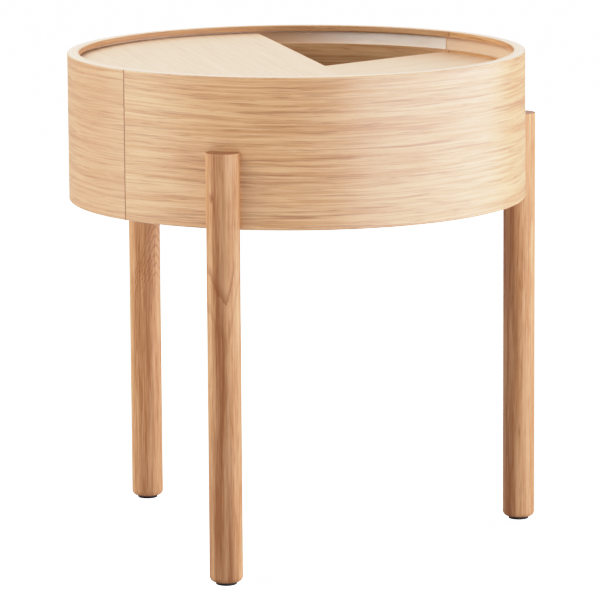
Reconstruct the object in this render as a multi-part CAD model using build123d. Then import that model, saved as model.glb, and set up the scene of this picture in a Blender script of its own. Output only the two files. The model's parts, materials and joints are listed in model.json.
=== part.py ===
from build123d import *

import os
from math import sqrt

# A round bedside table with a hidden store: a drum of two bent plywood half shells on three
# round legs, closed by a fixed half lid and by a half lid that turns above it in a groove.
# Millimetres and degrees. +Z is up, the origin is on the drum's axis at floor level, and the
# seams between the half shells lie on the X axis, the rear half shell on the +Y side.

# Whole table
DRUM_RADIUS = 210.0
DRUM_HEIGHT = 135.0
TABLE_HEIGHT = 453.0
RIM_Z = TABLE_HEIGHT
DRUM_BOTTOM_Z = RIM_Z - DRUM_HEIGHT

# Drum wall: the lip, the groove that the turning lid runs in, and the dado of the floor panel
WALL = 11.0
INNER_RADIUS = DRUM_RADIUS - WALL
LIP_HEIGHT = 5.0
GROOVE_HEIGHT = 12.5
GROOVE_RADIUS = INNER_RADIUS + 5.0
GROOVE_FLOOR_Z = RIM_Z - LIP_HEIGHT - GROOVE_HEIGHT
DADO_RADIUS = INNER_RADIUS + 4.0
RIM_ROUND = 1.0
SEAM_VEE = 0.45

# Floor panel of the store
FLOOR_RECESS = 6.0
FLOOR_THICKNESS = 8.0
FLOOR_FIT = 0.2
FLOOR_BOTTOM_Z = DRUM_BOTTOM_Z + FLOOR_RECESS
FLOOR_TOP_Z = FLOOR_BOTTOM_Z + FLOOR_THICKNESS

# Half lids: each passes the axis by LID_OVERLAP, so that they lap when the store is shut
LID_THICKNESS = 10.0
LID_OVERLAP = 10.0
LIPPING = 2.0
EDGE_ROUND = 0.6
FIXED_LID_RADIUS = INNER_RADIUS - 0.2
FIXED_LID_TOP_Z = RIM_Z - 20.0
FIXED_LID_BOTTOM_Z = FIXED_LID_TOP_Z - LID_THICKNESS
TURNING_LID_RADIUS = GROOVE_RADIUS - 1.6
TURNING_LID_BOTTOM_Z = GROOVE_FLOOR_Z + 0.4
TURNING_LID_OPEN = 60.0

# Glide strip on the back of the rear half of the groove, stopping short of the lip and the seams
STRIP_THICKNESS = 1.0
STRIP_HEIGHT = 10.8
STRIP_END = 2.3

# Dowels across the seams
DOWEL_RADIUS = 2.5
DOWEL_LENGTH = 20.0
DOWEL_LEVELS = (350.0, 380.0, 410.0)
DOWEL_POINT = 0.6

# Legs, lapped over the outside of the wall
LEG_RADIUS = 15.0
LEG_CIRCLE = 214.0
LEG_TOP_Z = RIM_Z - 66.0
LEG_TOP_ROUND = 0.8
LEG_FOOT_ROUND = 5.0
FRONT_LEG_FROM_SEAM = 29.0
LEG_ANGLES = {
    "rear": 90.0,
    "front_left": 180.0 + FRONT_LEG_FROM_SEAM,
    "front_right": 360.0 - FRONT_LEG_FROM_SEAM,
}

# Foot glides and their nails
GLIDE_HEIGHT = 2.5
GLIDE_RADIUS = 9.5
GLIDE_ROUND = 0.8
NAIL_HEAD_RADIUS = 3.5
NAIL_HEAD_HEIGHT = 1.0
NAIL_RADIUS = 1.2
NAIL_LENGTH = 16.0
NAIL_RECESS = 0.8

# Bolts that pull each leg against the wall
BOLT_LEVELS = (345.0, 373.0)
BOLT_RADIUS = 3.0
BOLT_LENGTH = 24.0
BOLT_HEAD_RADIUS = 7.5
BOLT_HEAD_HEIGHT = 2.2
BOLT_HOLE_RADIUS = 3.3
SOCKET_RADIUS = 2.3
SOCKET_DEPTH = 1.5
WASHER_RADIUS = 8.0
WASHER_THICKNESS = 1.2
SPOT_FACE_RADIUS = 8.5
SPOT_FACE_DEPTH = 0.8
WASHER_SEAT = INNER_RADIUS + SPOT_FACE_DEPTH
BOLT_START = WASHER_SEAT - WASHER_THICKNESS
INSERT_RADIUS = 5.0
INSERT_LENGTH = 12.0
INSERT_SET_BACK = 0.5
INSERT_START = DRUM_RADIUS + INSERT_SET_BACK
DRILL_END = BOLT_START + BOLT_LENGTH + 1.5

# Cleats under the fixed lid, each with a screw into the wall and a screw up into the lid
CLEAT_ANGLES = (195.0, 245.0, 295.0, 345.0)
CLEAT_LENGTH = 40.0
CLEAT_DEPTH = 14.0
CLEAT_HEIGHT = 16.0
CLEAT_EASE = 1.5
CLEAT_BOTTOM_Z = FIXED_LID_BOTTOM_Z - CLEAT_HEIGHT
CLEAT_FACE = INNER_RADIUS - CLEAT_DEPTH
SCREW_OFFSET = 9.0
SCREW_RADIUS = 2.0
SCREW_HEAD_RADIUS = 4.0
SCREW_HEAD_HEIGHT = 2.4
SCREW_LENGTH = 21.0
SCREW_POINT = 3.0
SCREW_SLOT = (4.6, 0.9, 1.4)

# Pivot on the drum's axis, hidden between the lids: its discs end short of their edges
PIVOT_RADIUS = 4.0
PIVOT_DISC_RADIUS = LID_OVERLAP - 0.6
PIVOT_CLEARANCE = 0.05
BUSH_RADIUS = 6.5
THRUST_WASHER_THICKNESS = 1.0
THRUST_GAP = 0.2
BUSH_FLANGE_TOP_Z = TURNING_LID_BOTTOM_Z - THRUST_WASHER_THICKNESS - THRUST_GAP
RETAINING_WASHER_THICKNESS = 1.5
RETAINING_TOP_Z = FIXED_LID_BOTTOM_Z - THRUST_GAP
PIVOT_HEAD_RADIUS = 8.0
PIVOT_HEAD_HEIGHT = 4.0
PIVOT_HEAD_TOP_Z = RETAINING_TOP_Z - RETAINING_WASHER_THICKNESS
PIVOT_THREAD_RADIUS = 3.0
PIVOT_THREAD_LENGTH = 7.0
PIVOT_INSERT_RADIUS = 5.5
PIVOT_INSERT_LENGTH = 8.0


def upright(radius, bottom, top):
    """A solid cylinder about the Z axis between two heights."""
    return Pos(0, 0, bottom) * extrude(Circle(radius), top - bottom)


def tube(outer, inner, bottom, top):
    """A plain tube or washer about the Z axis between two heights."""
    return Pos(0, 0, bottom) * extrude(Circle(outer) - Circle(inner), top - bottom)


def turned(points):
    """A solid of revolution about the Z axis from an outline of (radius, height) points."""
    outline = make_face(Polyline([(r, z) for r, z in points], close=True))
    return revolve(Plane.XZ * outline, Axis.Z, 360)


def outward(solid, angle, radius, height):
    """Turns a solid's Z axis to point away from the drum's axis and moves it to its place."""
    return Rot(0, 0, angle) * Pos(radius, 0, height) * Rot(0, 90, 0) * solid


def at_angle(solid, angle, radius):
    """Moves an upright solid out along X and round the drum's axis."""
    return Rot(0, 0, angle) * Pos(radius, 0, 0) * solid


def wall_section():
    """The wall's cross-section in the XZ plane, with its lip, its groove and its dado."""
    lip_z = RIM_Z - LIP_HEIGHT
    points = [
        (INNER_RADIUS, DRUM_BOTTOM_Z),
        (DRUM_RADIUS, DRUM_BOTTOM_Z),
        (DRUM_RADIUS, RIM_Z),
        (INNER_RADIUS, RIM_Z),
        (INNER_RADIUS, lip_z),
        (GROOVE_RADIUS, lip_z),
        (GROOVE_RADIUS, GROOVE_FLOOR_Z),
        (INNER_RADIUS, GROOVE_FLOOR_Z),
        (INNER_RADIUS, FLOOR_TOP_Z),
        (DADO_RADIUS, FLOOR_TOP_Z),
        (DADO_RADIUS, FLOOR_BOTTOM_Z),
        (INNER_RADIUS, FLOOR_BOTTOM_Z),
    ]
    section = make_face(Polyline(points, close=True))
    rim = section.vertices().group_by(Axis.Y)[-1]
    foot = section.vertices().group_by(Axis.Y)[0]
    return Plane.XZ * fillet(rim + foot, RIM_ROUND)


def seam_dowels():
    """Three dowels across each seam, lying along Y in the middle of the wall."""
    pin = upright(DOWEL_RADIUS, -DOWEL_LENGTH / 2, DOWEL_LENGTH / 2)
    pin = chamfer(pin.edges().filter_by(GeomType.CIRCLE), DOWEL_POINT)
    middle = DRUM_RADIUS - WALL / 2
    return [Pos(x, 0, z) * Rot(90, 0, 0) * pin for x in (-middle, middle) for z in DOWEL_LEVELS]


def half_shell(turn, cuts):
    """One bent plywood half of the drum, with a fine vee along its outer seam edges."""
    shell = Rot(0, 0, turn) * revolve(wall_section(), Axis.Z, 180)
    vee = Pos(0, 0, DRUM_BOTTOM_Z) * Rot(0, 0, 45) * Box(
        SEAM_VEE * sqrt(2), SEAM_VEE * sqrt(2), 3 * DRUM_HEIGHT
    )
    for x in (-DRUM_RADIUS, DRUM_RADIUS):
        shell -= Pos(x, 0, 0) * vee
    for cut in cuts:
        shell -= cut
    return shell


def half_disc(radius, bottom, near, far):
    """The part of a disc between two lines parallel to X, LID_THICKNESS thick."""
    strip = Pos(0, (near + far) / 2) * Rectangle(3 * radius, far - near)
    return Pos(0, 0, bottom) * extrude(Circle(radius) & strip, LID_THICKNESS)


def lipped_half_lid(radius, bottom):
    """A half lid over the +Y side: the veneered panel, and the solid lipping of its edge."""
    inside = LIPPING - LID_OVERLAP
    panel = half_disc(radius, bottom, inside, radius)
    lipping = half_disc(radius, bottom, -LID_OVERLAP, inside)
    corners = lipping.edges().filter_by(Axis.X).group_by(Axis.Y)[0]
    return panel, fillet(corners, EDGE_ROUND)


def leg(angle, cuts):
    """A round leg, cut away where it laps the drum, with its shoulder under the wall."""
    stock = upright(LEG_RADIUS, GLIDE_HEIGHT, LEG_TOP_Z)
    stock = fillet(stock.edges().group_by(Axis.Z)[0], LEG_FOOT_ROUND)
    stock = fillet(stock.edges().group_by(Axis.Z)[-1], LEG_TOP_ROUND)
    lapped = at_angle(stock, angle, LEG_CIRCLE) - upright(DRUM_RADIUS, DRUM_BOTTOM_Z, RIM_Z)
    for cut in cuts:
        lapped -= cut
    return lapped


def leg_bolt():
    """A furniture bolt along Z: a flat head with a hexagon socket below z = 0, then the shank."""
    head = upright(BOLT_HEAD_RADIUS, -BOLT_HEAD_HEIGHT, 0)
    head = fillet(head.edges().group_by(Axis.Z)[0], EDGE_ROUND)
    socket = Pos(0, 0, -BOLT_HEAD_HEIGHT) * extrude(RegularPolygon(SOCKET_RADIUS, 6), SOCKET_DEPTH)
    return head + upright(BOLT_RADIUS, 0, BOLT_LENGTH) - socket


def wood_screw():
    """A countersunk wood screw along Z, its head flush with z = 0, and a cross recess."""
    outline = [
        (0, 0),
        (SCREW_HEAD_RADIUS, 0),
        (SCREW_RADIUS, SCREW_HEAD_HEIGHT),
        (SCREW_RADIUS, SCREW_LENGTH - SCREW_POINT),
        (0, SCREW_LENGTH),
    ]
    long, wide, deep = SCREW_SLOT
    cross = Box(long, wide, 2 * deep) + Box(wide, long, 2 * deep)
    return turned(outline) - cross


def screw_hole():
    """The room that a wood screw takes up, head and all."""
    on_base = (Align.CENTER, Align.CENTER, Align.MIN)
    head = Cone(SCREW_HEAD_RADIUS, SCREW_RADIUS, SCREW_HEAD_HEIGHT, align=on_base)
    return head + upright(SCREW_RADIUS, 0, SCREW_LENGTH)


def cleat_places(solid, at_wall):
    """A copy of a screw or hole at every cleat: out into the wall, or up into the lid."""
    middle = INNER_RADIUS - CLEAT_DEPTH / 2
    wall_place = Pos(CLEAT_FACE, SCREW_OFFSET, CLEAT_BOTTOM_Z + CLEAT_HEIGHT / 2) * Rot(0, 90, 0)
    lid_place = Pos(middle, -SCREW_OFFSET, CLEAT_BOTTOM_Z)
    place = wall_place if at_wall else lid_place
    return [Rot(0, 0, angle) * place * solid for angle in CLEAT_ANGLES]


def cleats(cuts):
    """The blocks under the fixed lid, hollowed to the wall's curve."""
    block = Pos(CLEAT_FACE, 0, CLEAT_BOTTOM_Z) * Box(
        2 * CLEAT_DEPTH, CLEAT_LENGTH, CLEAT_HEIGHT, align=(Align.MIN, Align.CENTER, Align.MIN)
    )
    block = chamfer(block.edges().filter_by(Axis.Y).group_by(Axis.Z)[0].sort_by(Axis.X)[0], CLEAT_EASE)
    block &= upright(INNER_RADIUS, CLEAT_BOTTOM_Z, FIXED_LID_BOTTOM_Z)
    blocks = [Rot(0, 0, angle) * block for angle in CLEAT_ANGLES]
    for cut in cuts:
        blocks = [block - cut for block in blocks]
    return blocks


def foot_glide():
    """A round glide for a leg's foot, countersunk for its nail."""
    disc = upright(GLIDE_RADIUS, 0, GLIDE_HEIGHT)
    disc = fillet(disc.edges().group_by(Axis.Z)[0], GLIDE_ROUND)
    disc -= upright(NAIL_HEAD_RADIUS, 0, NAIL_RECESS + NAIL_HEAD_HEIGHT)
    return disc - upright(NAIL_RADIUS, 0, GLIDE_HEIGHT)


def glide_nail():
    """The nail that holds a glide, its head sunk above the floor."""
    head_top = NAIL_RECESS + NAIL_HEAD_HEIGHT
    head = upright(NAIL_HEAD_RADIUS, NAIL_RECESS, head_top)
    return head + upright(NAIL_RADIUS, head_top, NAIL_RECESS + NAIL_LENGTH)


def pivot_bush():
    """The flanged bush in the fixed lid that the pivot bolt turns in."""
    bore = PIVOT_RADIUS + PIVOT_CLEARANCE
    barrel = tube(BUSH_RADIUS, bore, FIXED_LID_BOTTOM_Z, FIXED_LID_TOP_Z)
    return barrel + tube(PIVOT_DISC_RADIUS, bore, FIXED_LID_TOP_Z, BUSH_FLANGE_TOP_Z)


def pivot_bolt():
    """The shoulder bolt that turns with the upper lid, its head under the fixed lid."""
    head_bottom = PIVOT_HEAD_TOP_Z - PIVOT_HEAD_HEIGHT
    head = upright(PIVOT_HEAD_RADIUS, head_bottom, PIVOT_HEAD_TOP_Z)
    head = fillet(head.edges().group_by(Axis.Z)[0], EDGE_ROUND)
    socket = Pos(0, 0, head_bottom) * extrude(RegularPolygon(SOCKET_RADIUS, 6), SOCKET_DEPTH)
    shoulder = upright(PIVOT_RADIUS, PIVOT_HEAD_TOP_Z, TURNING_LID_BOTTOM_Z)
    thread_top = TURNING_LID_BOTTOM_Z + PIVOT_THREAD_LENGTH
    return head + shoulder + upright(PIVOT_THREAD_RADIUS, TURNING_LID_BOTTOM_Z, thread_top) - socket


def save(name, *solids):
    """Writes one sub-part, a single solid or a group of separate ones, to its STEP file."""
    shape = solids[0] if len(solids) == 1 else Compound(children=list(solids))
    shape.label = name
    export_step(shape, os.path.join("parts", name + ".step"))


os.makedirs("parts", exist_ok=True)

# Drum
dowels = seam_dowels()
wall_screw_holes = cleat_places(screw_hole(), at_wall=True)
bolt_holes = {}
spot_faces = {}
for side, angle in LEG_ANGLES.items():
    hole = upright(BOLT_HOLE_RADIUS, 0, DRUM_RADIUS)
    spot = upright(SPOT_FACE_RADIUS, 0, SPOT_FACE_DEPTH + WALL)
    bolt_holes[side] = [outward(hole, angle, INNER_RADIUS / 2, z) for z in BOLT_LEVELS]
    spot_faces[side] = [outward(spot, angle, INNER_RADIUS - WALL, z) for z in BOLT_LEVELS]
rear_cuts = dowels + bolt_holes["rear"] + spot_faces["rear"]
front_cuts = dowels + wall_screw_holes
for side in ("front_left", "front_right"):
    front_cuts = front_cuts + bolt_holes[side] + spot_faces[side]
save("rear_half_shell", half_shell(0, rear_cuts))
save("front_half_shell", half_shell(180, front_cuts))
save("seam_dowels", *dowels)
save("storage_floor", upright(DADO_RADIUS - FLOOR_FIT, FLOOR_BOTTOM_Z, FLOOR_TOP_Z))

strip_middle = Pos(GROOVE_RADIUS - STRIP_THICKNESS / 2, GROOVE_FLOOR_Z + STRIP_HEIGHT / 2)
strip_section = Plane.XZ * (strip_middle * Rectangle(STRIP_THICKNESS, STRIP_HEIGHT))
strip = Rot(0, 0, STRIP_END) * revolve(strip_section, Axis.Z, 180 - 2 * STRIP_END)
save("groove_glide_strip", strip)

# Fixed lid over the front of the store, on its cleats
lid_screw_holes = cleat_places(screw_hole(), at_wall=False)
fixed_panel, fixed_lipping = lipped_half_lid(FIXED_LID_RADIUS, FIXED_LID_BOTTOM_Z)
fixed_panel = Rot(0, 0, 180) * fixed_panel - upright(BUSH_RADIUS, FIXED_LID_BOTTOM_Z, FIXED_LID_TOP_Z)
for hole in lid_screw_holes:
    fixed_panel -= hole
save("fixed_lid", fixed_panel)
save("fixed_lid_lipping", Rot(0, 0, 180) * fixed_lipping)
save("fixed_lid_cleats", *cleats(wall_screw_holes + lid_screw_holes))
save("cleat_wall_screws", *cleat_places(wood_screw(), at_wall=True))
save("cleat_lid_screws", *cleat_places(wood_screw(), at_wall=False))

# Turning lid, shut when it is over the +Y side
insert_top = TURNING_LID_BOTTOM_Z + PIVOT_INSERT_LENGTH
turning_panel, turning_lipping = lipped_half_lid(TURNING_LID_RADIUS, TURNING_LID_BOTTOM_Z)
turning_panel -= upright(PIVOT_INSERT_RADIUS, TURNING_LID_BOTTOM_Z, insert_top)
save("turning_lid", Rot(0, 0, TURNING_LID_OPEN) * turning_panel)
save("turning_lid_lipping", Rot(0, 0, TURNING_LID_OPEN) * turning_lipping)

# Pivot
thrust_bottom = TURNING_LID_BOTTOM_Z - THRUST_WASHER_THICKNESS
retaining_bottom = RETAINING_TOP_Z - RETAINING_WASHER_THICKNESS
thrust_washer = tube(PIVOT_DISC_RADIUS, PIVOT_RADIUS, thrust_bottom, TURNING_LID_BOTTOM_Z)
retaining_washer = tube(PIVOT_DISC_RADIUS, PIVOT_RADIUS, retaining_bottom, RETAINING_TOP_Z)
pivot_insert = tube(PIVOT_INSERT_RADIUS, PIVOT_THREAD_RADIUS, TURNING_LID_BOTTOM_Z, insert_top)
save("pivot_bush", pivot_bush())
save("pivot_bolt", pivot_bolt())
save("pivot_thrust_washer", thrust_washer)
save("pivot_retaining_washer", retaining_washer)
save("pivot_insert", pivot_insert)

# Legs with their bolts, washers, inserts, glides and nails
insert_room = upright(INSERT_RADIUS, 0, INSERT_SET_BACK + WALL + INSERT_LENGTH)
drill = upright(BOLT_HOLE_RADIUS, 0, DRILL_END - INNER_RADIUS)
nail_hole = upright(NAIL_RADIUS, 0, NAIL_RECESS + NAIL_LENGTH)
for side, angle in LEG_ANGLES.items():
    cuts = [outward(insert_room, angle, INNER_RADIUS, z) for z in BOLT_LEVELS]
    cuts += [outward(drill, angle, INNER_RADIUS, z) for z in BOLT_LEVELS]
    cuts += [at_angle(nail_hole, angle, LEG_CIRCLE)]
    washer = tube(WASHER_RADIUS, BOLT_HOLE_RADIUS, 0, WASHER_THICKNESS)
    insert = tube(INSERT_RADIUS, BOLT_RADIUS, 0, INSERT_LENGTH)
    save(side + "_leg", leg(angle, cuts))
    save(side + "_leg_bolts", *[outward(leg_bolt(), angle, BOLT_START, z) for z in BOLT_LEVELS])
    save(side + "_leg_washers", *[outward(washer, angle, BOLT_START, z) for z in BOLT_LEVELS])
    save(side + "_leg_inserts", *[outward(insert, angle, INSERT_START, z) for z in BOLT_LEVELS])
    save(side + "_foot_glide", at_angle(foot_glide(), angle, LEG_CIRCLE))
    save(side + "_glide_nail", at_angle(glide_nail(), angle, LEG_CIRCLE))
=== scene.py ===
import json
from math import cos, exp, pi, radians, sin

import bpy
from mathutils import Matrix, Vector


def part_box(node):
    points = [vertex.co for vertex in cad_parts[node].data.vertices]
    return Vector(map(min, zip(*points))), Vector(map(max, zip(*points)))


# The looks of a round oak bedside table: procedural oak for the drum, lids and legs, small
# hardware finishes, a white studio floor, soft lights and the camera. Metres throughout.

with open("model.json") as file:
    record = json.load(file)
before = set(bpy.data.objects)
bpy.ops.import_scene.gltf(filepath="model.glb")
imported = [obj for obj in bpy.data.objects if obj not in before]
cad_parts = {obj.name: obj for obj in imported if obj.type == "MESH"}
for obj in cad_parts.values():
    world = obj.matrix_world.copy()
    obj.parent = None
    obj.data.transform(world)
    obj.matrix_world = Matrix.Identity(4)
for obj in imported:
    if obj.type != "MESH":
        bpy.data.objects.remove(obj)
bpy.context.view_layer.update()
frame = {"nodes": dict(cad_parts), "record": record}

# The drum's size, from the frame, and how far the turning lid stands open
shell_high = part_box("rear_half_shell")[1]
DRUM_RADIUS = shell_high.x
RIM_Z = shell_high.z
LID_CLEARANCE = 0.0002
INNER_RADIUS = -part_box("fixed_lid")[0].y + LID_CLEARANCE
LID_OPEN = radians(60)

# Camera: how far it stands from the drum's axis and above the floor, how it is turned, its lens
VIEW_AZIMUTH = radians(-43.29)
CAMERA_DISTANCE = 4.0044
CAMERA_HEIGHT = 0.92221
CAMERA_PITCH = radians(9.9487)
CAMERA_YAW = radians(0.0282)
CAMERA_ROLL = radians(0.3749)
CAMERA_LENS = 263.5
SENSOR_WIDTH = 36.0

# Lights and the picture's tones
LIGHTS_DISTANCE = 2.4
LIGHTS_AIM_Z = 0.30
BACK_LIGHT = 0.63
TOP_LIGHT = 1.15
TOP_LIGHT_ELEVATION = radians(60)
FLOOR_SIZE = 60.0
FLOOR_GLOW = 1.8
WHITE = 2.6
TONE_KNEE = 0.6
TONE_POINTS = 7

# Softboxes: name, degrees round to the camera's right, degrees up, width, height, watts, colour
SOFTBOXES = (
    ("right_front_softbox", 50, 7, 2.1, 1.0, 28.5, (1.0, 1.01, 1.10)),
    ("right_side_softbox", 94, 8, 1.7, 1.1, 29.0, (1.0, 1.012, 1.12)),
    ("left_high_softbox", -62, 39, 1.4, 1.4, 34.0, (1.0, 1.0, 1.0)),
    ("left_low_softbox", -80, 6, 1.3, 0.9, 9.0, (1.0, 1.0, 1.0)),
)

# The drum's wall: its varnish, veneer and plies, how far into it the look of its inside reaches,
# with its painted shade, half the width of its seams, and the heights between which more painted
# shade darkens its inside
VARNISH_IOR = 1.68
VENEER = 0.0006
VENEER_EDGE = 0.0001
PLIES = 5
INSIDE_FULL = 0.002
INSIDE_END = 0.008
SEAM_DARK = 0.0004
SEAM_CLEAR = 0.0011
SHADE_START_Z = RIM_Z - 0.018
SHADE_FULL_Z = RIM_Z - 0.035


def tone(red, green, blue):
    """A linear colour from sRGB levels out of 255."""
    linear = [((level / 255 + 0.055) / 1.055) ** 2.4 for level in (red, green, blue)]
    return (*linear, 1.0)


class Value:
    """A number carried by a node tree, written with ordinary arithmetic."""

    def __init__(self, nodes, socket):
        self.nodes = nodes
        self.socket = socket

    def __add__(self, other):
        return self.nodes.math("ADD", self, other)

    def __radd__(self, other):
        return self.nodes.math("ADD", other, self)

    def __sub__(self, other):
        return self.nodes.math("SUBTRACT", self, other)

    def __rsub__(self, other):
        return self.nodes.math("SUBTRACT", other, self)

    def __mul__(self, other):
        return self.nodes.math("MULTIPLY", self, other)

    def __truediv__(self, other):
        return self.nodes.math("DIVIDE", self, other)


class Nodes:
    """Writes a node tree as expressions: each method adds one node and returns its output."""

    def __init__(self, tree):
        self.tree = tree

    def add(self, kind, inputs, **settings):
        """A node of any kind, with its settings and its inputs, by name or by number."""
        node = self.tree.nodes.new(kind)
        for name, setting in settings.items():
            setattr(node, name, setting)
        for key, value in inputs.items():
            self.feed(node.inputs[key], value)
        return node

    def feed(self, socket, value):
        """Links a value, colour or socket into a socket, or sets a constant on it."""
        if isinstance(value, Value):
            value = value.socket
        if isinstance(value, bpy.types.NodeSocket):
            self.tree.links.new(value, socket)
        else:
            socket.default_value = value

    def math(self, operation, *values):
        """The result of one of Blender's Math operations."""
        node = self.add("ShaderNodeMath", dict(enumerate(values)), operation=operation)
        return Value(self, node.outputs[0])

    def split(self, vector):
        """The three parts of a vector, each as a value."""
        node = self.add("ShaderNodeSeparateXYZ", {0: vector})
        return [Value(self, socket) for socket in node.outputs]

    def noise(self, x, y, z, detail=2.0, roughness=0.5):
        """Fractal noise from 0 to 1 at a point, mostly between 0.3 and 0.7."""
        place = self.add("ShaderNodeCombineXYZ", {0: x, 1: y, 2: z}).outputs[0]
        sizes = {"Vector": place, "Scale": 1.0, "Detail": detail, "Roughness": roughness}
        return Value(self, self.add("ShaderNodeTexNoise", sizes).outputs["Fac"])

    def step(self, value, low, high):
        """0 below low and 1 above high, with a smooth rise between them."""
        inputs = {"Value": value, "From Min": low, "From Max": high}
        node = self.add("ShaderNodeMapRange", inputs, interpolation_type="SMOOTHSTEP")
        return Value(self, node.outputs[0])

    def blend(self, factor, first, second):
        """One colour turning into another as factor goes from 0 to 1."""
        node = self.add("ShaderNodeMix", {0: factor, 6: first, 7: second}, data_type="RGBA")
        return node.outputs[2]

    def shade(self, colour, value):
        """A colour made lighter or darker by a factor."""
        node = self.add("ShaderNodeVectorMath", {0: colour, 3: value}, operation="SCALE")
        return node.outputs[0]


def material(name, roughness, specular=0.5, ior=1.5):
    """A new material, with its node writer and its shader."""
    made = bpy.data.materials.new(name)
    made.use_nodes = True
    shader = made.node_tree.nodes["Principled BSDF"]
    shader.inputs["Roughness"].default_value = roughness
    shader.inputs["Specular IOR Level"].default_value = specular
    shader.inputs["IOR"].default_value = ior
    return made, Nodes(made.node_tree), shader


def relief(n, shader, height, depth):
    """Fine relief on a surface: height from 0 to 1 stands for a depth in metres."""
    bump = n.add("ShaderNodeBump", {"Height": height, "Distance": depth})
    n.feed(shader.inputs["Normal"], bump.outputs[0])


def object_place(n):
    """The point on the surface in the CAD frame, as three values."""
    return n.split(n.add("ShaderNodeTexCoord", {}).outputs["Object"])


def facing(n):
    """The surface's own direction in the CAD frame, as three values."""
    return n.split(n.add("ShaderNodeTexCoord", {}).outputs["Normal"])


def turned(x, y, angle):
    """How far a level place lies along a direction at an angle from X, and to its left."""
    return x * cos(angle) + y * sin(angle), y * cos(angle) - x * sin(angle)


def seen_by_camera(n):
    """1 for the camera's own rays, and 0 for all other light."""
    return Value(n, n.add("ShaderNodeLightPath", {}).outputs["Is Camera Ray"])


# Long-grain oak: how far its lines waver from side to side, and its bands, each with the number
# of waves that a metre has along the grain, and across it
LINE_WAVER = 0.0022
GRAIN_BANDS = (
    (1.5, 55.0),
    (3.5, 150.0),
    (6.0, 270.0),
    (8.0, 340.0),
    (11.0, 450.0),
    (20.0, 760.0),
)


class Oak:
    """The tones and the figure of one cut of oak.

    pale and dark are the tones of its bands, and vessel that of its pores and darkest lines.
    wander is how far its lines drift across the grain, and strength how much its figure shows.
    """

    def __init__(self, pale, dark, vessel, wander, strength=1.0):
        self.pale = tone(*pale)
        self.dark = tone(*dark)
        self.vessel = tone(*vessel)
        self.wander = wander
        self.strength = strength


def grain_bands(n, along, line, seed):
    """Long soft bands of every width at once, mostly between -0.5 and 0.5."""
    total = 0.0
    for run, pitch in GRAIN_BANDS:
        total = total + (n.noise(along * run, line * pitch, seed + pitch, detail=0.0) - 0.5)
    return total


def hairlines(n, along, line, seed, run, pitch):
    """Thin lines where a stretched noise crosses its middle, stronger in some places."""
    level = n.noise(along * run, line * pitch, seed, detail=1.0)
    strength = n.noise(along * run * 3.0, line * pitch * 0.8, seed + 2.6, detail=1.0)
    return n.step(n.math("ABSOLUTE", level - 0.5), 0.045, 0.012) * n.step(strength, 0.36, 0.60)


def oak_figure(n, oak, along, across, seed):
    """The colour and the relief of long-grain oak at a place along and across the grain."""
    drift = n.noise(along * 2.4, across * 8.0, seed, detail=1.0) - 0.5
    waver = n.noise(along * 30.0, across * 170.0, seed + 7.7, detail=2.0) - 0.5
    line = across + drift * oak.wander + waver * LINE_WAVER
    early = n.step(grain_bands(n, along, line, seed), -0.75, 0.75)
    rows = hairlines(n, along, line, seed + 4.4, 3.0, 230.0)
    short_rows = hairlines(n, along, line, seed + 8.8, 10.0, 480.0)
    bright = hairlines(n, along, line, seed + 1.9, 7.0, 400.0)
    pores = n.noise(along * 190.0, line * 1600.0, seed + 5.3, detail=1.0)
    open_pores = n.step(pores, 0.56, 0.72) * (0.3 + early * 0.7)

    colour = n.blend(0.5 + (early - 0.5) * oak.strength, oak.pale, oak.dark)
    colour = n.blend(bright * (0.80 * oak.strength), colour, oak.pale)
    colour = n.blend(rows * (0.60 * oak.strength), colour, oak.vessel)
    colour = n.blend(short_rows * (0.60 * oak.strength), colour, oak.vessel)
    colour = n.blend(open_pores * (0.30 * oak.strength), colour, oak.vessel)
    return colour, 1.0 - open_pores * 0.4 - rows * 0.3 - short_rows * 0.3


FRONT_OAK = Oak((232, 186, 133), (199, 139, 76), (160, 95, 38), wander=0.010, strength=0.86)
REAR_OAK = Oak((230, 183, 134), (200, 144, 90), (164, 102, 50), wander=0.016, strength=0.65)


def shell_material(node, oak, seed):
    """A bent half shell: veneer inside and out, grain running round, and plies at its edges."""
    made, n, shader = material("oak_shell_" + node, roughness=0.42, ior=VARNISH_IOR)
    x, y, z = object_place(n)
    up = n.math("ABSOLUTE", facing(n)[2])
    radius = n.math("SQRT", x * x + y * y)
    arc = n.math("ARCTAN2", y, x) * DRUM_RADIUS
    inside = n.step(radius, INNER_RADIUS + INSIDE_END, INNER_RADIUS + INSIDE_FULL)
    colour, height = oak_figure(n, oak, arc, z, seed + inside * 20.0)
    # Painted shade: the inside is darkened a little all over, and more deep in the drum below the
    # groove
    painted_deep_shade = inside * n.step(z, SHADE_START_Z, SHADE_FULL_Z)
    colour = n.shade(colour, 1.0 - inside * 0.08 - painted_deep_shade * 0.14)
    n.feed(shader.inputs["Specular IOR Level"], 1.0 - inside * 0.75)
    seam = n.step(n.math("ABSOLUTE", y), SEAM_CLEAR, SEAM_DARK)
    colour = n.blend(seam * 0.60, colour, tone(138, 80, 38))

    core_start = INNER_RADIUS + VENEER
    core_end = DRUM_RADIUS - VENEER
    core = n.step(radius, core_start - VENEER_EDGE, core_start + VENEER_EDGE)
    core = core * n.step(radius, core_end + VENEER_EDGE, core_end - VENEER_EDGE)
    depth = (radius - core_start) * (PLIES / (core_end - core_start))
    glue = n.step(n.math("PINGPONG", depth, 0.5), 0.12, 0.03)
    cross = n.step(n.math("PINGPONG", depth + 0.5, 1.0), 0.45, 0.55)
    fibre = n.noise(arc * 900.0, radius * 3000.0, z * 900.0, detail=2.0)
    ply = n.blend(cross, tone(232, 202, 171), tone(216, 184, 153))
    ply = n.blend(glue * 0.6, ply, tone(168, 140, 114))
    ply = n.blend(n.step(up, 0.3, 0.6), tone(242, 212, 180), ply)
    ply = n.shade(ply, 0.9 + fibre * 0.2)
    n.feed(shader.inputs["Base Color"], n.blend(core, colour, ply))
    relief(n, shader, height * (1.0 - core) + fibre * core, 0.00008)
    return made


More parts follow.
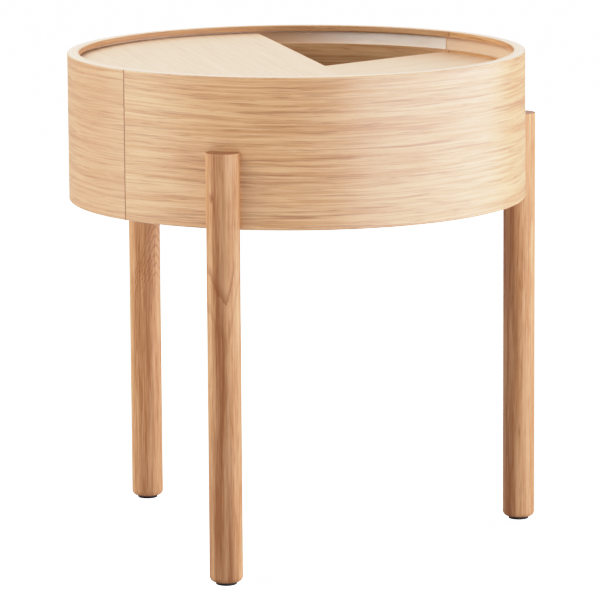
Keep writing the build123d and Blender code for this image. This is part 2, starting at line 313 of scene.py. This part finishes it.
# A lid's veneer, and how many plies a metre of its core would have
LID_PLIES = 550.0
LID_OAK = Oak((224, 191, 157), (206, 168, 131), (170, 128, 92), wander=0.006, strength=0.42)


def lid_material(node, turn, seed):
    """A veneered half lid, its grain along the straight edge, with the core's plies at its rim."""
    made, n, shader = material("oak_lid_" + node, roughness=0.42)
    x, y, z = object_place(n)
    up = n.math("ABSOLUTE", facing(n)[2])
    along, across = turned(x, y, turn)
    colour, height = oak_figure(n, LID_OAK, along, across, seed)
    core = n.step(up, 0.7, 0.4)
    plies = n.step(n.math("PINGPONG", z * LID_PLIES, 0.5), 0.10, 0.02)
    edge = n.blend(plies * 0.5, tone(208, 174, 134), tone(150, 118, 86))
    n.feed(shader.inputs["Base Color"], n.blend(core, colour, edge))
    relief(n, shader, height, 0.00005)
    return made


LIPPING_OAK = Oak((229, 192, 152), (212, 170, 128), (176, 132, 94), wander=0.003, strength=0.6)


def lipping_material(node, turn, seed):
    """The solid strip along a lid's straight edge, its grain along the strip."""
    made, n, shader = material("oak_lipping_" + node, roughness=0.40)
    x, y, z = object_place(n)
    along, across = turned(x, y, turn)
    colour, height = oak_figure(n, LIPPING_OAK, along, across + z, seed)
    n.feed(shader.inputs["Base Color"], colour)
    relief(n, shader, height, 0.00004)
    return made


FLOOR_OAK = Oak((222, 174, 130), (186, 136, 92), (138, 90, 54), wander=0.012)


def floor_material(node):
    """The store's floor panel, veneered on both faces, its grain along X."""
    made, n, shader = material("oak_panel_" + node, roughness=0.5)
    x, y, z = object_place(n)
    colour, height = oak_figure(n, FLOOR_OAK, x, y, z * 40.0)
    n.feed(shader.inputs["Base Color"], colour)
    relief(n, shader, height, 0.00006)
    return made


# The legs: their tones, the way that their marked faces look, the height below which a streak
# widens as painted shade, the rounding of a ring's tip, and a knot's size, core and width to its
# length
LEG_PALE = tone(222, 174, 128)
LEG_MID = tone(184, 123, 70)
LEG_DARK = tone(136, 74, 31)
LEG_RING = tone(136, 74, 34)
LEG_END = tone(152, 103, 68)
LEG_FACE = radians(227)
PAINTED_SHADE_BELOW_Z = 0.25
TIP_ROUND = 0.0015
KNOT_RADIUS = 0.0026
KNOT_CORE = 0.0006
KNOT_SHAPE = 0.45


def leg_centre(node):
    """The axis of a leg, from the glide under it."""
    low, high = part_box(node.replace("_leg", "_foot_glide"))
    return (low + high) / 2


class LegMarks:
    """Marks on a leg's face: a dark streak, partly heartwood and partly painted shade, a knot and
    a cathedral of ring lines.

    side is how far the streak lies to the right of the face's middle, width its half width, and
    depth how dark it is. The value after depth is how much the streak widens for each metre below
    the height given with the legs' tones: this widening is painted shade low on the leg. The knot
    is a (side, height). The cathedral is a (side, height) of its tip, the slope of its arms, below
    zero where it opens upwards, their skew, the distance between its lines, and how far they reach
    from the tip.
    """

    def __init__(self, side, width, depth, painted_shade_widening=0.0, knot=None, cathedral=None):
        self.side = side
        self.width = width
        self.depth = depth
        self.painted_shade_widening = painted_shade_widening
        self.knot = knot
        self.cathedral = cathedral


def knot_shade(n, knot, aside, z, ragged):
    """A small knot, 1 at its middle, longer than wide and ragged at its edge."""
    side, height = knot
    to_side = aside - side
    to_height = (z - height) * KNOT_SHAPE
    away = n.math("SQRT", to_side * to_side + to_height * to_height) + ragged * 0.010
    return n.step(away, KNOT_RADIUS, KNOT_CORE)


def cathedral_shade(n, cathedral, aside, z, ragged):
    """Rings bent round a tip, each 1 at its lower edge and fading out upwards."""
    side, height, slope, skew, spacing, reach = cathedral
    beside = aside - side
    arms = (n.math("SQRT", beside * beside + TIP_ROUND**2) - TIP_ROUND) * slope + beside * skew
    rise = z - height + arms + ragged * 0.014
    ring = n.step(n.math("FRACT", rise / spacing), 0.40, 0.0)
    near = n.step(n.math("ABSOLUTE", rise + spacing * 0.2), reach, reach * 0.4)
    return ring * near * n.step(n.math("ABSOLUTE", z - height), reach * 1.5, reach * 0.5)


def leg_material(node, marks_and_shade, seed):
    """A turned leg of solid oak with its grain upright."""
    made, n, shader = material("oak_turned_" + node, roughness=0.48, specular=0.35)
    centre = leg_centre(node)
    x, y, z = object_place(n)
    up = n.math("ABSOLUTE", facing(n)[2])
    forward, aside = turned(x - centre.x, y - centre.y, LEG_FACE)
    front = n.step(forward, 0.0, 0.004)

    broad = n.noise(x * 120.0, y * 120.0, z * 5.0 + seed)
    lines = n.noise(x * 260.0, y * 260.0, z * 8.0 + seed, detail=3.0, roughness=1.0)
    fleck = n.noise(x * 900.0, y * 900.0, z * 50.0 + seed, detail=1.0)
    pores = n.noise(x * 1800.0, y * 1800.0, z * 110.0 + seed, detail=1.0)
    early = n.step((lines - 0.5) + (broad - 0.5) * 0.3, -0.16, 0.16)
    rows = n.step(fleck, 0.56, 0.68) * (0.3 + early * 0.7)
    open_pores = n.step(pores, 0.54, 0.70) * (0.3 + early * 0.7)

    sway = (n.noise(z * 9.0, seed, 0.0) - 0.5) * 0.010 + (lines - 0.5) * 0.006
    off = n.math("ABSOLUTE", aside - marks_and_shade.side + sway)
    # Painted shade: below a set height the streak widens over the lower leg
    width = n.math("MAXIMUM", PAINTED_SHADE_BELOW_Z - z, 0.0) * marks_and_shade.painted_shade_widening + marks_and_shade.width
    streak = n.step(off, width, width * 0.3) * front * marks_and_shade.depth
    streak = streak * (0.45 + n.step(broad, 0.38, 0.58) * 0.30 + early * 0.25)
    colour = n.blend(early * 0.75, LEG_PALE, LEG_MID)
    colour = n.blend(rows * 0.35, colour, LEG_DARK)
    colour = n.blend(streak, colour, LEG_DARK)
    colour = n.blend(open_pores * 0.20, colour, LEG_DARK)
    if marks_and_shade.knot:
        knot = knot_shade(n, marks_and_shade.knot, aside, z, lines - 0.5)
        colour = n.blend(knot * front * 0.6, colour, LEG_RING)
    if marks_and_shade.cathedral:
        tip = cathedral_shade(n, marks_and_shade.cathedral, aside, z, lines - 0.5 + (broad - 0.5) * 0.8)
        colour = n.blend(tip * front * 0.55, colour, LEG_RING)
    end = n.blend(early * 0.4 + open_pores * 0.3, LEG_END, LEG_DARK)
    n.feed(shader.inputs["Base Color"], n.blend(n.step(up, 0.6, 0.85), colour, end))
    relief(n, shader, 1.0 - open_pores * 0.5 - rows * 0.4, 0.00008)
    return made


BLOCK_OAK = Oak((208, 160, 114), (180, 132, 90), (138, 94, 58), wander=0.004)


def block_material(node):
    """Planed oak blocks with their grain round the drum."""
    made, n, shader = material("oak_block_" + node, roughness=0.6)
    x, y, z = object_place(n)
    arc = n.math("ARCTAN2", y, x) * DRUM_RADIUS
    radius = n.math("SQRT", x * x + y * y)
    colour, height = oak_figure(n, BLOCK_OAK, arc, z + radius * 0.7, 4.0)
    n.feed(shader.inputs["Base Color"], colour)
    relief(n, shader, height, 0.0001)
    return made


def dowel_material(node):
    """Beech pins with fine flecks along them."""
    made, n, shader = material("beech_" + node, roughness=0.6)
    x, y, z = object_place(n)
    fleck = n.noise(x * 1500.0, y * 200.0, z * 1500.0)
    colour = n.blend(n.step(fleck, 0.4, 0.7), tone(222, 184, 146), tone(190, 146, 108))
    n.feed(shader.inputs["Base Color"], colour)
    relief(n, shader, fleck, 0.00005)
    return made


# Nylon's two tones, and the painted shade on the strip in the groove, warm as with light thrown
# off the oak round it, which grows from the first to the second of the two places below, measured
# to the camera's right
NYLON = ((252, 243, 231), (246, 235, 221))
NYLON_PAINTED_SHADE = (218, 178, 138)
PAINTED_SHADE_START = 0.085
PAINTED_SHADE_FULL = -0.030


def moulded_material(name, light, shadow, roughness, clear=0.0, warm_painted_shade=None):
    """Moulded plastic with a slight mottle, a fine satin texture and some light inside it."""
    made, n, shader = material(name, roughness)
    x, y, z = object_place(n)
    mottle = n.step(n.noise(x * 45.0, y * 45.0, z * 160.0, detail=3.0), 0.3, 0.7)
    satin = n.noise(x * 3200.0, y * 3200.0, z * 3200.0)
    colour = n.blend(mottle, tone(*light), tone(*shadow))
    # Painted shade: a warm tone, as of light off the oak, grows towards the camera's left
    if warm_painted_shade:
        to_right = x * cos(VIEW_AZIMUTH) + y * sin(VIEW_AZIMUTH)
        colour = n.blend(n.step(to_right, PAINTED_SHADE_START, PAINTED_SHADE_FULL), colour, tone(*warm_painted_shade))
    n.feed(shader.inputs["Base Color"], colour)
    shader.inputs["Subsurface Weight"].default_value = clear
    shader.inputs["Subsurface Radius"].default_value = (0.002, 0.0015, 0.001)
    relief(n, shader, satin, 0.00003)
    return made


def metal_material(name, light, shadow, roughness):
    """Turned or plated metal: fine tool lines and a slightly uneven polish."""
    made, n, shader = material(name, roughness)
    x, y, z = object_place(n)
    blotch = n.noise(x * 180.0, y * 180.0, z * 180.0, detail=3.0)
    lines = n.noise(x * 900.0, y * 900.0, z * 9000.0)
    shader.inputs["Metallic"].default_value = 1.0
    colour = n.blend(n.step(blotch, 0.35, 0.65), tone(*light), tone(*shadow))
    n.feed(shader.inputs["Base Color"], colour)
    n.feed(shader.inputs["Roughness"], roughness + (blotch - 0.5) * 0.25)
    relief(n, shader, lines, 0.00002)
    return made


FRONT_LEFT_MARKS = LegMarks(
    -0.0034,
    0.0078,
    0.80,
    # the streak's widening low on this leg is painted shade
    painted_shade_widening=0.040,
    knot=(-0.0095, 0.348),
    cathedral=(0.0028, 0.2535, -3.6, -1.6, 0.036, 0.036),
)
# The right front leg's wide streak down its left flank is painted shade, in heartwood's tones, on
# the side turned from the lights
FRONT_RIGHT_PAINTED_SHADE = LegMarks(-0.0140, 0.0155, 0.80)
REAR_MARKS = LegMarks(-0.0010, 0.0120, 0.60, cathedral=(0.0095, 0.247, 2.6, -0.4, 0.009, 0.045))


def finish_nodes():
    """Gives every CAD node its material, by what the record says it is made of."""
    nylon = moulded_material("nylon", *NYLON, 0.35, clear=0.15)
    # The groove's strip gets painted warm shade towards the camera's left
    strip = moulded_material("nylon_groove_glide_strip", *NYLON, 0.35, clear=0.15, warm_painted_shade=NYLON_PAINTED_SHADE)
    dark = moulded_material("dark_plastic", (34, 31, 29), (22, 20, 19), 0.55)
    steel = metal_material("plated_steel", (176, 177, 180), (142, 143, 147), 0.34)
    zinc = metal_material("zinc", (188, 187, 182), (150, 149, 146), 0.42)
    brass = metal_material("brass", (200, 166, 100), (168, 132, 74), 0.32)
    shared = {
        "glide_strip_nylon": strip,
        "bush_nylon": nylon,
        "foot_glide_plastic": dark,
        "bolt_steel": steel,
        "zinc_screw": zinc,
        "insert_brass": brass,
        "floor_panel_oak": floor_material("storage_floor"),
        "cleat_oak": block_material("fixed_lid_cleats"),
        "beech_dowel": dowel_material("seam_dowels"),
    }
    own = {
        "rear_half_shell": shell_material("rear_half_shell", REAR_OAK, 11.0),
        "front_half_shell": shell_material("front_half_shell", FRONT_OAK, 47.0),
        "fixed_lid": lid_material("fixed_lid", 0.0, 3.0),
        "turning_lid": lid_material("turning_lid", LID_OPEN, 8.0),
        "fixed_lid_lipping": lipping_material("fixed_lid_lipping", 0.0, 2.0),
        "turning_lid_lipping": lipping_material("turning_lid_lipping", LID_OPEN, 6.0),
        "front_left_leg": leg_material("front_left_leg", FRONT_LEFT_MARKS, 1.0),
        "front_right_leg": leg_material("front_right_leg", FRONT_RIGHT_PAINTED_SHADE, 5.0),
        "rear_leg": leg_material("rear_leg", REAR_MARKS, 9.0),
    }
    slots = {part["node"]: part["material_slot"] for part in frame["record"]["subparts"]}
    for name, node in frame["nodes"].items():
        node.data.materials.clear()
        node.data.materials.append(own.get(name) or shared[slots[name]])


def add_camera():
    """The camera, a long lens a little above the top of the table."""
    data = bpy.data.cameras.new("camera")
    data.sensor_width = SENSOR_WIDTH
    data.lens = CAMERA_LENS
    data.clip_start = 0.1
    data.clip_end = 200.0
    camera = bpy.data.objects.new("camera", data)
    turn = Matrix.Rotation(VIEW_AZIMUTH, 4, "Z")
    place = turn @ Matrix.Translation((0.0, -CAMERA_DISTANCE, CAMERA_HEIGHT))
    aim = Matrix.Rotation(-CAMERA_YAW, 4, "Z") @ Matrix.Rotation(pi / 2 - CAMERA_PITCH, 4, "X")
    camera.matrix_world = place @ aim @ Matrix.Rotation(-CAMERA_ROLL, 4, "Z")
    bpy.context.scene.collection.objects.link(camera)
    bpy.context.scene.camera = camera


def away_from_drum(azimuth, elevation):
    """A direction from the drum. Azimuth 0 is towards the camera, and it grows to the right."""
    level = cos(elevation)
    away = Vector((sin(azimuth) * level, -cos(azimuth) * level, sin(elevation)))
    away.rotate(Matrix.Rotation(VIEW_AZIMUTH, 3, "Z"))
    return away


def add_softbox(name, azimuth, elevation, width, height, watts, colour):
    """A rectangular softbox aimed at the drum, its direction in degrees."""
    data = bpy.data.lights.new(name, "AREA")
    data.shape = "RECTANGLE"
    data.size = width
    data.size_y = height
    data.energy = watts
    data.color = colour
    light = bpy.data.objects.new(name, data)
    away = away_from_drum(radians(azimuth), radians(elevation))
    light.location = Vector((0.0, 0.0, LIGHTS_AIM_Z)) + away * LIGHTS_DISTANCE
    light.rotation_euler = away.to_track_quat("Z", "Y").to_euler()
    bpy.context.scene.collection.objects.link(light)


def add_floor():
    """A plain white floor, which the camera sees as bright as the surroundings."""
    half = FLOOR_SIZE / 2
    mesh = bpy.data.meshes.new("studio_floor")
    corners = [(-half, -half, 0.0), (half, -half, 0.0), (half, half, 0.0), (-half, half, 0.0)]
    mesh.from_pydata(corners, [], [(0, 1, 2, 3)])
    floor = bpy.data.objects.new("studio_floor", mesh)
    bpy.context.scene.collection.objects.link(floor)
    made, n, shader = material("white_floor", roughness=0.9, specular=0.0)
    x, y, _ = object_place(n)
    mottle = n.noise(x * 3.0, y * 3.0, 0.0)
    n.feed(shader.inputs["Base Color"], n.blend(mottle, tone(200, 200, 200), tone(206, 206, 206)))
    shader.inputs["Emission Color"].default_value = (1.0, 1.0, 1.0, 1.0)
    n.feed(shader.inputs["Emission Strength"], seen_by_camera(n) * FLOOR_GLOW)
    mesh.materials.append(made)


def glow(n, place, azimuth, elevation):
    """A broad soft light in one direction of the surroundings, 1 at its middle."""
    towards = away_from_drum(azimuth, elevation)
    x, y, z = place
    return n.step(x * towards.x + y * towards.y + z * towards.z, 0.0, 1.0)


def add_surroundings():
    """White to the camera, and for the object broad soft lights behind and above it."""
    world = bpy.data.worlds.new("studio")
    bpy.context.scene.world = world
    world.use_nodes = True
    n = Nodes(world.node_tree)
    place = n.split(n.add("ShaderNodeTexCoord", {}).outputs["Generated"])
    back = glow(n, place, pi, 0.0) * BACK_LIGHT
    room = back + glow(n, place, pi, TOP_LIGHT_ELEVATION) * TOP_LIGHT
    background = world.node_tree.nodes["Background"]
    background.inputs["Color"].default_value = (1.0, 1.0, 1.0, 1.0)
    n.feed(background.inputs["Strength"], n.math("MAXIMUM", room, seen_by_camera(n) * WHITE))


def add_tone_curve():
    """A camera's tone curve: straight up to TONE_KNEE, then bending softly towards white."""
    view = bpy.context.scene.view_settings
    view.view_transform = "Standard"
    view.use_curve_mapping = True
    mapping = view.curve_mapping
    mapping.clip_max_x = WHITE
    curve = mapping.curves[3]
    curve.points[0].location = (0.0, 0.0)
    curve.points[1].location = (WHITE, 1.0)
    rest = 1.0 - TONE_KNEE
    for step in range(TONE_POINTS):
        level = TONE_KNEE + (WHITE - TONE_KNEE) * (step / TONE_POINTS) ** 2
        curve.points.new(level, 1.0 - rest * exp((TONE_KNEE - level) / rest))
    mapping.update()


finish_nodes()
add_floor()
add_surroundings()
for softbox in SOFTBOXES:
    add_softbox(*softbox)
add_camera()
add_tone_curve()
